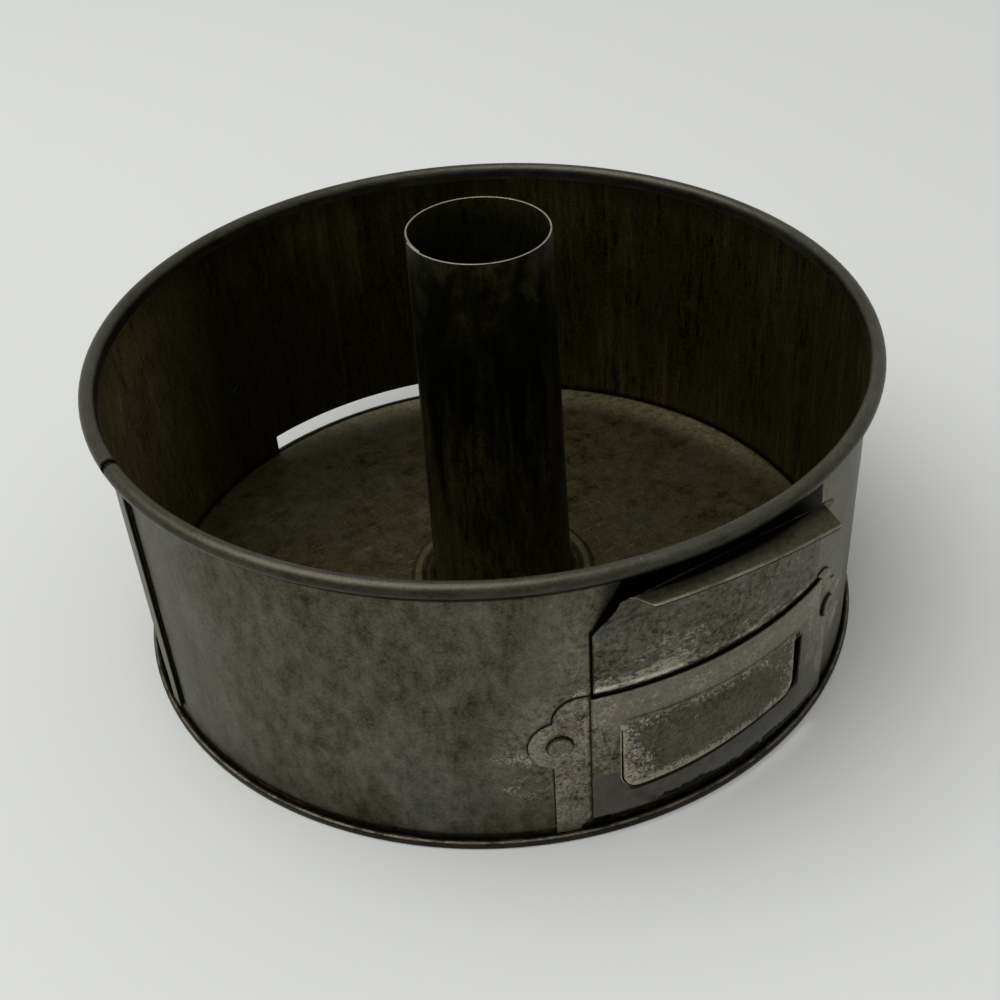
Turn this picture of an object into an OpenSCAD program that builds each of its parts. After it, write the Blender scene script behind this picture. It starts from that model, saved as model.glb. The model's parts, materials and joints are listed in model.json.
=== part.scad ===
// Angel food cake pan in tinplate, with a knife slot and a slide gate on each side.
// The origin is the centre of the base, on the table. +Z is up, the front gate
// faces -Y and the wall's lock seam is on the -X side. Sizes are in millimetres.
// Sizes called "along the wall" are measured round the outside of the wall.

/* [Pan] */
// Diameter over the rolled rim
rim_d = 230; // [215:1:250]
// Height to the top of the rolled rim
pan_h = 95; // [90:1:110]
// Thickness of the tinplate
sheet = 0.5; // [0.4:0.05:0.6]
// Diameter of the rolled rim over the wire
bead_d = 4.5; // [4:0.1:5]
// Height of the floor's top face
floor_h = 3; // [2.8:0.1:3.6]
// Height of the folded seam that joins floor and wall
hem_h = 2.4; // [2.2:0.05:2.6]

/* [Lock seam] */
// Width of the wall's lock seam, along the wall
seam_w = 5.8; // [4:0.2:8]
// How far the lock seam stands out from the wall
seam_out = 1.3; // [0.9:0.1:1.6]
// Height at which the lock seam starts
seam_foot = 7; // [4:0.5:12]
// Direction of the lock seam, in degrees from +X
seam_at = 178.5; // [170:0.5:190]
// Direction of the gap in the rolled rim, in degrees from +X
rim_joint_at = 178.8; // [170:0.2:190]
// Width of the gap in the rolled rim
rim_joint = 1.2; // [0.4:0.1:1.6]

/* [Centre tube] */
// Height to the top of the tube
tube_h = 126.7; // [115:1:140]
// Outer diameter of the tube at its top
tube_top_d = 41; // [36:0.5:44]
// Outer diameter of the tube at the floor
tube_foot_d = 45.2; // [44:0.2:48]
// Width of the flange that holds the tube under the floor
tube_flange = 4; // [3:0.25:5]
// Angle through which the tube's edges lap
tube_lap = 19; // [10:1:25]
// Direction of the tube's outer edge, in degrees from +X
tube_seam_at = 165; // [150:1:180]
// Radius of the raised ring in the floor round the tube
ring_r = 27.8; // [27:0.1:30]
// Height of the raised ring over the floor
ring_h = 1.2; // [0.6:0.1:1.8]

/* [Knife slots] */
// Angle between the two gates, which are set by hand and not quite opposite
gate_spread = 178.4; // [177:0.2:183]
// Width of a slot, along the wall
slot_w = 67.4; // [50:0.5:70]
// Height of a slot
slot_h = 6.5; // [6:0.1:8]

/* [Slides] */
// Width of a slide, along the wall
slide_w = 76.4; // [74:0.4:80]
// Width of the slide's top edge
slide_top_w = 69; // [66:0.5:72]
// Height of the sloped corners at the top of a slide
slide_corner = 12.5; // [8:0.5:16]
// Width of the lip at its fold
lip_w = 62; // [56:0.5:64]
// Width of the lip at its free edge
lip_end_w = 57.2; // [50:0.4:60]
// How far the lip reaches out at its middle
lip_out = 9.8; // [7:0.1:11]
// How far the lip reaches out at its left end
lip_left_out = 6; // [5:0.25:11]
// How far the lip reaches out at its right end
lip_right_out = 10.1; // [5:0.1:11]
// Room above the lip, below the rolled rim
lip_room = 4.25; // [3:0.25:6]
// Corner radius of the lip
lip_corner = 2; // [1:0.25:3]

/* [Holders] */
// Height of a holder's top edge
holder_top = 52.3; // [50:0.5:56]
// Height of the plate's bottom edge
plate_foot = 7.8; // [7.6:0.1:8.6]
// Width of a holder over its flanges, along the wall
holder_w = 97.4; // [96:0.2:102]
// Room between the slide and the plate
plate_room = 0.8; // [0.5:0.1:1]
// Width of the flange's foot, along the wall
tab_w = 6.7; // [5:0.1:8]
// Radius of the round ear at a rivet
ear_r = 8.2; // [7:0.1:9]
// Radius of the round shoulder above the ear
shoulder_r = 7.4; // [6:0.2:8]

/* [Tongues] */
// How far a spring tongue reaches to the left of the gate's centre line, along the wall
tongue_left = 31.4; // [25:0.1:32]
// How far it reaches to the right
tongue_right = 26.7; // [25:0.1:32]
// Height of the tongue's free edge at its left end
tongue_foot = 17.2; // [16:0.1:24]
// How much higher the free edge is at its right end
tongue_rise = 3.6; // [0:0.1:5]
// Height at which the tongue bends away from the plate
tongue_bend = 41; // [36:0.5:44]
// Length of the tongue's root, between the ends of the side cuts and the bend
tongue_root = 2; // [1:0.25:4]
// How far the tongue's free edge stands out from the plate
tongue_out = 0.7; // [0:0.1:1.2]
// Width of the cut below the tongue
tongue_gap = 0.9; // [0.4:0.1:1.2]
// Width of the cut on the tongue's left
tongue_left_gap = 0.4; // [0.3:0.1:3]
// Width of the cut on the tongue's right
tongue_right_gap = 3; // [0.3:0.1:3]
// Corner radius of the tongue
tongue_corner = 4.5; // [2:0.5:7]

/* [Rivets] */
// Distance between a holder's two rivets, along the wall
rivet_span = 94; // [93:0.2:95]
// Height of the rivets
rivet_z = 36.3; // [34:0.2:38]
// Diameter of the rivet's head
rivet_head_d = 7; // [6:0.2:8]
// Height of the rivet's head
rivet_head_h = 1.1; // [0.8:0.1:1.6]
// Diameter of the rivet's shank
rivet_d = 3; // [2.4:0.1:3.4]

/* [Hidden] */
turn_fn = 96;
past = 1;

// Gaps: between folded sheets, under a riveted flange, round the wire and the rivets,
// and between a slide and what it slides on
fold_gap = 0.25;
seat_gap = 0.05;
wire_gap = 0.1;
rivet_gap = 0.1;
slide_gap = 0.3;
slide_side_gap = 0.5;

// The wall
rim_r = rim_d / 2;
wall_ri = rim_r - bead_d;
wall_ro = wall_ri + sheet;
wall_rc = wall_ri + sheet / 2;
bead_r = bead_d / 2;
bead_rc = rim_r - bead_r;
bead_z = pan_h - bead_r;
bead_foot = pan_h - bead_d;
curl_end = -128;
gate_turns = [0, gate_spread];

// The folded seam at the base, from the wall outwards: the floor's hook, the wall's hook, the floor
bend_r = 0.5;
floor_hook_r = wall_ro + fold_gap + sheet / 2;
wall_hook_r = floor_hook_r + sheet + fold_gap;
hem_rc = wall_hook_r + sheet + fold_gap;
wall_hook_z = sheet * 3 / 2 + 0.15;
hem_zc = hem_h - sheet / 2;
floor_zc = floor_h - sheet / 2;
skirt_r = wall_ri - wire_gap - sheet / 2;

// The tube goes through the floor and is turned outwards below it
tube_foot_r = tube_foot_d / 2 - sheet / 2;
tube_top_r = tube_top_d / 2 - sheet / 2;
lap_step = sheet + 0.02;
flange_zc = floor_h - sheet - 0.1 - lap_step - sheet / 2;
floor_hole_r = tube_foot_d / 2 + 0.25;
ring_w = 1.6;
ring_slope = 1.8;

// The slide rests with its bottom edge just over the slot, and closes down to the seam
slide_rc = wall_ro + slide_gap + sheet / 2;
slide_ro = wall_ro + slide_gap + sheet;
slide_foot = floor_h + slot_h + 0.5;
slide_down = slide_foot - hem_h - slide_gap;
fold_z = bead_foot - lip_room - sheet / 2;
slide_up = lip_room - slide_gap;
fold_r = 0.7;
fold_start = fold_z - fold_r;
face_top = fold_start - 0.4;
straighten_z = face_top - slide_corner;

// The holder's plate stands off the wall by the slide and its room
plate_ri = slide_ro + plate_room;
plate_ro = plate_ri + sheet;
flange_ri = wall_ro + seat_gap;
flange_ro = flange_ri + sheet;
pocket_arc = slide_w / 2 + slide_side_gap;
flange_arc = holder_w / 2;
rivet_arc = rivet_span / 2;
tab_foot = hem_h + 0.1;

// Angle, in degrees, of a length along the wall
function turn(arc) = arc / wall_ro * 180 / PI;
// Straight distance from the gate's centre line of a length along the wall
function across(arc) = wall_ro * sin(turn(arc));
function unit(v) = v / norm(v);
function left_of(v) = [-v[1], v[0]];
function spun(v, a) = [v[0] * cos(a) - v[1] * sin(a), v[0] * sin(a) + v[1] * cos(a)];
function arc_points(centre, r, from, to, n) =
    [for (i = [0 : n]) let (a = from + (to - from) * i / n) centre + r * [cos(a), sin(a)]];

// The bend of radius r that rounds corner b between a and c
function bend(a, b, c, r) =
    let (u = unit(a - b), v = unit(c - b), half = acos(u * v) / 2,
         centre = b + unit(u + v) * r / sin(half),
         start = b + u * r / tan(half) - centre,
         swing = (180 - 2 * half) * sign(cross(b - a, c - b)))
    [for (i = [0 : 5]) centre + spun(start, swing * i / 5)];
function bent(path, r) =
    [path[0], for (i = [1 : len(path) - 2]) each bend(path[i - 1], path[i], path[i + 1], r),
     path[len(path) - 1]];

// The normal of a path at point i, long enough to keep the sheet's thickness in a bend
function path_normal(path, i) =
    let (n = len(path) - 1,
         before = unit(left_of(path[max(i, 1)] - path[max(i, 1) - 1])),
         after = unit(left_of(path[min(i, n - 1) + 1] - path[min(i, n - 1)])),
         mid = unit(before + after))
    mid / (mid * after);
// The outline of a sheet of metal that follows a path
function sheet_section(path) =
    let (n = len(path) - 1)
    [for (i = [0 : n]) path[i] + path_normal(path, i) * sheet / 2,
     for (i = [n : -1 : 0]) path[i] - path_normal(path, i) * sheet / 2];

wall_path = concat(
    bent([[wall_hook_r, hem_h - sheet - fold_gap], [wall_hook_r, wall_hook_z],
          [wall_rc, wall_hook_z], [wall_rc, bead_z - past]], bend_r),
    arc_points([bead_rc, bead_z], bead_r - sheet / 2, 180, curl_end, 28));

floor_path = bent(
    [[floor_hole_r, floor_zc],
     [ring_r - ring_w / 2 - ring_slope, floor_zc],
     [ring_r - ring_w / 2, floor_zc + ring_h],
     [ring_r + ring_w / 2, floor_zc + ring_h],
     [ring_r + ring_w / 2 + ring_slope, floor_zc],
     [skirt_r, floor_zc], [skirt_r, sheet / 2],
     [hem_rc, sheet / 2], [hem_rc, hem_zc],
     [floor_hook_r, hem_zc], [floor_hook_r, wall_hook_z + sheet / 2 + 0.2]], bend_r);

tube_path = bent(
    [[tube_foot_r + tube_flange, flange_zc], [tube_foot_r, flange_zc], [tube_top_r, tube_h]],
    bend_r);

// A strip of the gate between two radii, two lengths along the wall and two heights
module band(r, arc, z) {
    rotate([0, 0, turn(arc[0]) - 90])
        rotate_extrude(angle = turn(arc[1] - arc[0]), $fn = turn_fn)
            translate([r[0], z[0]])
                square([r[1] - r[0], z[1] - z[0]]);
}

// Puts a drawing on the wall: X along it, Y up and Z outwards
module at_wall(arc, z) {
    rotate([0, 0, turn(arc)])
        translate([0, -wall_ro, z])
            rotate([90, 0, 0])
                children();
}

// A closed sheet between a front and a back grid of points, each a list of rows
module sheet_body(front, back) {
    rows = len(front);
    cols = len(front[0]);
    half = rows * cols;
    function at(i, j, side) = side * half + i * cols + j;
    function quad(a, b, c, d) = [[a, b, c], [a, c, d]];
    polyhedron(
        points = [for (row = front) each row, for (row = back) each row],
        faces = [
            for (i = [0 : rows - 2]) for (j = [0 : cols - 2])
                each quad(at(i, j, 0), at(i + 1, j, 0), at(i + 1, j + 1, 0), at(i, j + 1, 0)),
            for (i = [0 : rows - 2]) for (j = [0 : cols - 2])
                each quad(at(i, j, 1), at(i, j + 1, 1), at(i + 1, j + 1, 1), at(i + 1, j, 1)),
            for (i = [0 : rows - 2])
                each quad(at(i, 0, 0), at(i, 0, 1), at(i + 1, 0, 1), at(i + 1, 0, 0)),
            for (i = [0 : rows - 2])
                each quad(at(i, cols - 1, 0), at(i + 1, cols - 1, 0),
                          at(i + 1, cols - 1, 1), at(i, cols - 1, 1)),
            for (j = [0 : cols - 2])
                each quad(at(0, j, 0), at(0, j + 1, 0), at(0, j + 1, 1), at(0, j, 1)),
            for (j = [0 : cols - 2])
                each quad(at(rows - 1, j, 0), at(rows - 1, j, 1),
                          at(rows - 1, j + 1, 1), at(rows - 1, j + 1, 0))]);
}

// The lock seam is a folded strip with rounded edges, open along one side
module lock_seam() {
    edge_r = 0.5;
    mouth = 1;
    rotate([0, 0, seam_at + 90])
        translate([0, -wall_ro, seam_foot])
            linear_extrude(bead_foot - 0.1 - seam_foot)
                difference() {
                    mirror([0, 1]) {
                        translate([-seam_w / 2, -sheet / 2])
                            square([seam_w, sheet / 2 + seam_out - edge_r]);
                        translate([edge_r - seam_w / 2, 0])
                            square([seam_w - 2 * edge_r, seam_out]);
                        for (s = [-1, 1])
                            translate([s * (seam_w / 2 - edge_r), seam_out - edge_r])
                                circle(edge_r, $fn = 24);
                    }
                    translate([seam_w / 2 - mouth, -0.35])
                        square([mouth + past, 0.3]);
                }
}

module rivet_holes() {
    for (s = [-1, 1])
        at_wall(s * rivet_arc, rivet_z)
            cylinder(h = 4, d = rivet_d + 2 * rivet_gap, center = true, $fn = 32);
}

module side_wall() {
    color("dimgray")
        difference() {
            union() {
                rotate_extrude($fn = turn_fn)
                    polygon(sheet_section(wall_path));
                lock_seam();
            }
            for (a = gate_turns)
                rotate([0, 0, a]) {
                    band([wall_ri - past, wall_ro + past], [-slot_w / 2, slot_w / 2],
                         [floor_h, floor_h + slot_h]);
                    rivet_holes();
                }
            rotate([0, 0, rim_joint_at])
                translate([wall_ri - past, -rim_joint / 2, bead_foot - 0.05])
                    cube([bead_d + 2 * past, rim_joint, bead_d + past]);
        }
}

// The wire's two ends meet under the gap in the rim
module rim_wire() {
    wire_r = bead_r - sheet - wire_gap;
    color("slategray")
        rotate([0, 0, rim_joint_at - 90])
            rotate_extrude(angle = 359.9, $fn = turn_fn)
                translate([bead_rc, bead_z])
                    circle(wire_r, $fn = 32);
}

module bottom() {
    color("darkolivegreen")
        rotate_extrude($fn = turn_fn)
            polygon(sheet_section(floor_path));
}

// The tube is one rolled sheet, and its inner edge laps inside its outer edge.
// step is 0 where the sheet lies at the tube's own radius and 1 in the lap.
module centre_tube() {
    ramp = 24;
    turns = 62;
    swing = 360 + tube_lap;
    function step(a) = min(1, max(0, (a - 360 + ramp) / ramp));
    function tube_row(a, side) =
        [for (i = [0 : len(tube_path) - 1])
            let (p = tube_path[i]
                     + path_normal(tube_path, i) * (side * sheet / 2 + step(a) * lap_step))
            [p[0] * cos(tube_seam_at + a), p[0] * sin(tube_seam_at + a), p[1]]];
    angles = [for (i = [0 : turns]) swing * i / turns];
    color("darkslategray")
        sheet_body([for (a = angles) tube_row(a, -1)], [for (a = angles) tube_row(a, 1)]);
}

// Half the width of a slide at a height on its face
slide_half = across(slide_w / 2);
function face_half(z) =
    slide_half - (slide_half - slide_top_w / 2)
        * max(0, z - straighten_z) / slide_corner;
// Half the width of the lip at a distance out from the face
function lip_half(out) =
    let (corner = max(0, out - lip_out + lip_corner) / lip_corner)
    lip_w / 2 - (lip_w - lip_end_w) / 2 * out / lip_out
        - lip_corner * (1 - sqrt(1 - corner * corner));
// The face leaves the wall's curve where its corners start and is straight at the fold
function straight_part(z) =
    let (s = min(1, max(0, (z - straighten_z) / (fold_start - straighten_z)))) s * s * (3 - 2 * s);

// One row of a slide: how far out, how high, half width, and its normal outwards and upwards
function face_row(z) = [0, z, face_half(z), 1, 0];
function fold_row(a) =
    [fold_r * (1 - cos(a)), fold_start + fold_r * sin(a), lip_half(0), cos(a), -sin(a)];
function lip_row(out) = [out, fold_z, lip_half(out), 0, -1];
slide_rows = [
    face_row(slide_foot),
    for (i = [0 : 8]) face_row(straighten_z + slide_corner * i / 8),
    for (a = [0 : 22.5 : 90]) fold_row(a),
    lip_row(lip_out - lip_corner),
    for (a = [30, 60, 80]) lip_row(lip_out - lip_corner * (1 - sin(a))),
    lip_row(lip_out - 0.01)];

// How far the lip reaches out as a share of its reach at the middle, where u runs from -1 at its
// left end to 1 at its right
function lip_reach(u) =
    1 + u * (lip_right_out - lip_left_out) / 2 / lip_out
        + u * u * ((lip_right_out + lip_left_out) / 2 / lip_out - 1);

function slide_point(row, u, side) =
    let (x = u * row[2], s = straight_part(row[1]),
         y = (1 - s) * sqrt(slide_rc * slide_rc - x * x) + s * slide_rc)
    [x, -(y + row[0] * lip_reach(u) + side * row[3] * sheet / 2),
     row[1] + side * row[4] * sheet / 2];

module slide() {
    cols = 20;
    function grid(side) =
        [for (row = slide_rows) [for (j = [0 : cols]) slide_point(row, 2 * j / cols - 1, side)]];
    sheet_body(grid(1), grid(-1));
}

// The outline of a holder's flange, drawn from its rivet: ear, shoulder, strip and foot.
// Its top stays half a sheet below the plate's
module flange_outline() {
    inner = pocket_arc - rivet_arc;
    outer = flange_arc - rivet_arc;
    top = holder_top - sheet / 2 - rivet_z;
    foot = tab_foot - rivet_z;
    tab_inner = outer - tab_w;
    notch = plate_foot - rivet_z;
    circle(ear_r, $fn = 64);
    translate([outer - shoulder_r, top - shoulder_r])
        circle(shoulder_r, $fn = 64);
    translate([inner, notch])
        square([outer - shoulder_r - inner, top - notch]);
    polygon([[inner, notch], [tab_inner, foot + 1], [tab_inner, foot], [outer, foot],
             [outer, top - shoulder_r], [inner, top - shoulder_r]]);
}

module flange() {
    intersection() {
        band([flange_ri, flange_ro], [pocket_arc + sheet / 4, flange_arc + ear_r], [0, pan_h]);
        at_wall(rivet_arc, rivet_z)
            linear_extrude(2 * ear_r, center = true)
                flange_outline();
    }
}

// The plate and the two bends that carry it, as one channel in which the slide runs
module channel() {
    outer_arc = pocket_arc + sheet;
    difference() {
        band([flange_ri + sheet / 2, plate_ro], [-outer_arc, outer_arc],
             [plate_foot, holder_top]);
        band([wall_ri, plate_ri], [-pocket_arc, pocket_arc],
             [plate_foot - past, holder_top + past]);
    }
}

// The tongue's outline, drawn from the foot of the wall, grown to its left, its right and downwards
module tongue_outline(grow, top) {
    left = -across(tongue_left) - grow[0];
    right = across(tongue_right) + grow[1];
    r = tongue_corner + grow[2];
    centre = [left + r, tongue_foot - grow[2] + r];
    far = [right - r, centre[1] + tongue_rise];
    slope = atan2(tongue_rise, far[0] - centre[0]);
    polygon(concat([[left, top]],
                   arc_points(centre, r, 180, 270 + slope, 8),
                   arc_points(far, r, 270 + slope, 360, 8),
                   [[right, top]]));
}

module tongue_block(grow, top) {
    deep = wall_ro - across(tongue_left + tongue_right) + 2 * past;
    at_wall(0, 0)
        translate([0, 0, -deep / 2])
            linear_extrude(deep)
                tongue_outline(grow, top);
}

// The tongue leans out of the plate, and its root runs up inside the plate's thickness
module tongue() {
    side = 2;
    lean = tongue_out / (tongue_bend - tongue_foot);
    foot = tongue_foot - past;
    top = tongue_bend + tongue_root;
    reach = lean * (tongue_bend - foot);
    inner_r = plate_ri + sheet / 8;
    intersection() {
        rotate([0, 0, -90 - turn(tongue_left + side)])
            rotate_extrude(angle = turn(tongue_left + tongue_right + 2 * side), $fn = turn_fn)
                polygon([[inner_r, top], [inner_r, tongue_bend], [inner_r + reach, foot],
                         [plate_ro + reach, foot], [plate_ro - lean * tongue_root, top]]);
        tongue_block([0, 0, 0], top + past);
    }
}

module holder() {
    difference() {
        union() {
            difference() {
                channel();
                tongue_block([tongue_left_gap, tongue_right_gap, tongue_gap],
                             tongue_bend - tongue_root);
            }
            tongue();
            for (s = [0, 1])
                mirror([s, 0, 0])
                    flange();
        }
        rivet_holes();
    }
}

// A rivet's domed head lies on the flange and its upset end inside the wall
module dome(d, h) {
    r = (d * d / 4 + h * h) / (2 * h);
    intersection() {
        translate([0, 0, h - r])
            sphere(r, $fn = 48);
        cylinder(h = h, d = d, $fn = 48);
    }
}

module rivet(side) {
    seat = flange_ro - wall_ro + 0.06;
    upset = sheet + 0.05;
    at_wall(side * rivet_arc, rivet_z) {
        translate([0, 0, seat])
            dome(rivet_head_d, rivet_head_h);
        translate([0, 0, -upset])
            cylinder(h = seat + upset + 0.2, d = rivet_d, $fn = 32);
        translate([0, 0, -upset])
            mirror([0, 0, 1])
                dome(rivet_d + 2, 0.7);
    }
}

module front_holder() { color("gray") holder(); }
module front_slide() { color("darkgray") slide(); }
module front_left_rivet() { color("lightslategray") rivet(-1); }
module front_right_rivet() { color("lightslategray") rivet(1); }
module rear_holder() { rotate([0, 0, gate_spread]) color("gray") holder(); }
module rear_slide() { rotate([0, 0, gate_spread]) color("darkgray") slide(); }
module rear_left_rivet() { rotate([0, 0, gate_spread]) color("lightslategray") rivet(1); }
module rear_right_rivet() { rotate([0, 0, gate_spread]) color("lightslategray") rivet(-1); }

side_wall();
rim_wire();
bottom();
centre_tube();
front_holder();
front_slide();
front_left_rivet();
front_right_rivet();
rear_holder();
rear_slide();
rear_left_rivet();
rear_right_rivet();
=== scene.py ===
"""An angel food cake pan in old tinplate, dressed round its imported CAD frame.

Objects are in metres, as in the frame. Sizes are written in millimetres and turned with MM, and
the shaders work out places on a surface in millimetres too.
"""

import json
import logging
import math
from collections.abc import Callable
from dataclasses import dataclass
from enum import Enum
from typing import Union

import bmesh
import bpy
from mathutils import Matrix, Vector

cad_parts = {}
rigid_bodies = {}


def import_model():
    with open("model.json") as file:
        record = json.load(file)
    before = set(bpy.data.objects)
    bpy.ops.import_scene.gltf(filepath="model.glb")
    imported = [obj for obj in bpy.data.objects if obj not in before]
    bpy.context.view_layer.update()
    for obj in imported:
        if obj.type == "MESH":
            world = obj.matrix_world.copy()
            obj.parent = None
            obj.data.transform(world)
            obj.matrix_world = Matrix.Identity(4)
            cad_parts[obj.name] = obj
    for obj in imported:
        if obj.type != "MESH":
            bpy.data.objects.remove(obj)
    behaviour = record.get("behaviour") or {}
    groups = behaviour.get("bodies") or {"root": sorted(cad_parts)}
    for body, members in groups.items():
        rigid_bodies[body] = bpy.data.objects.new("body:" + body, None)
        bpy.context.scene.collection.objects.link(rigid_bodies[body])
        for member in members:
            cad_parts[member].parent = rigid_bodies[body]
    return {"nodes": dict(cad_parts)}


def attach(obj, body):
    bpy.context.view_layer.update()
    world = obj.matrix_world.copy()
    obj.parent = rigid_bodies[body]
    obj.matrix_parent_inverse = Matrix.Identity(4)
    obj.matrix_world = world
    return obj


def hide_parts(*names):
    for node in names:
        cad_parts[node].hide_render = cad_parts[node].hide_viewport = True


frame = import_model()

LOG = logging.getLogger("cake_pan")
Colour = tuple[float, float, float]
MM = 0.001
EVEN = (1.0, 1.0, 1.0)
# How near a vertex has to be to a place, in millimetres, to count as being there
TOUCH = 0.01
# Edges sharper than these angles, in degrees, are rounded, and are left sharp in the shading
ROUNDED_ANGLE = 40.0
SMOOTH_ANGLE = 35.0

# Sizes that part.scad shares
SHEET = 0.5
WALL_R = 111.0
WALL_MID_R = 110.75
BEAD_FOOT = 90.5
BEAD_Z = 92.75
FLOOR_TOP = 3.0
HEM_TOP = 2.4
SEAM_AT = 178.5
SEAM_W = 5.8
SEAM_FOOT = 7.0
RIM_JOINT_AT = 178.8
TUBE_TOP = 126.7
SLIDE_RC = 111.55
SLIDE_HALF = 38.2
SLIDE_CORNER = 12.5
FACE_TOP = 84.9
LIP_HALF = 31.0
LIP_END_HALF = 28.6
LIP_OUT = 9.8
LIP_LEFT_OUT = 6.0
LIP_RIGHT_OUT = 10.1
PLATE_R = 113.1
HOLDER_TOP = 52.3
POCKET_HALF = 38.7
FLANGE_HALF = 48.7
EAR_R = 8.2
SHOULDER_R = 7.4
RIVET_ARC = 47.0
RIVET_Z = 36.3
TONGUE_LEFT = 31.4
TONGUE_RIGHT = 26.7
TONGUE_FOOT = 17.2
TONGUE_RISE = 3.6
TONGUE_BEND = 41.0


class Value:
    """A number, vector or colour that varies over a surface: a socket, with maths as operators."""

    def __init__(self, graph: "Graph", socket: bpy.types.NodeSocket) -> None:
        """Keeps the socket and the graph that it belongs to."""
        self.graph = graph
        self.socket = socket

    def _math(self, operation: str, first: "Number", second: "Number" = 0.0) -> "Value":
        """Adds one Math node and returns its result."""
        return self.graph.node("ShaderNodeMath", {"operation": operation}, {0: first, 1: second})

    def __add__(self, other: "Number") -> "Value":
        """Sum."""
        return self._math("ADD", self, other)

    __radd__ = __add__

    def __sub__(self, other: "Number") -> "Value":
        """Difference."""
        return self._math("SUBTRACT", self, other)

    def __rsub__(self, other: "Number") -> "Value":
        """Difference, taken from a plain number."""
        return self._math("SUBTRACT", other, self)

    def __mul__(self, other: "Number") -> "Value":
        """Product."""
        return self._math("MULTIPLY", self, other)

    __rmul__ = __mul__

    def __abs__(self) -> "Value":
        """Size without its sign."""
        return self._math("ABSOLUTE", self)

    def root(self) -> "Value":
        """Square root."""
        return self._math("SQRT", self)

    def angle(self, other: "Value") -> "Value":
        """The angle whose tangent is this value over the other one."""
        return self._math("ARCTAN2", self, other)

    def least(self, other: "Number") -> "Value":
        """The smaller of two."""
        return self._math("MINIMUM", self, other)

    def most(self, other: "Number") -> "Value":
        """The larger of two."""
        return self._math("MAXIMUM", self, other)

    def rise(self, start: float, end: float) -> "Value":
        """A soft step from 0 to 1.

        Args:
            start: where it is 0.
            end: where it is 1, which may be below start.

        Returns:
            The step.
        """
        return self.graph.node(
            "ShaderNodeMapRange", {"interpolation_type": "SMOOTHSTEP"},
            {"Value": self, "From Min": start, "From Max": end})

    def near(self, place: float, reach: float) -> "Value":
        """1 at a place, falling softly to 0 at a distance of reach on either side."""
        return abs(self - place).rise(reach, 0.0)

    def within(self, low: float, high: float, soft: float) -> "Value":
        """1 between two limits, with soft ends."""
        return self.rise(low - soft, low + soft) * self.rise(high + soft, high - soft)


Number = Union[Value, float]
Paint = Union[Value, Colour]


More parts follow.
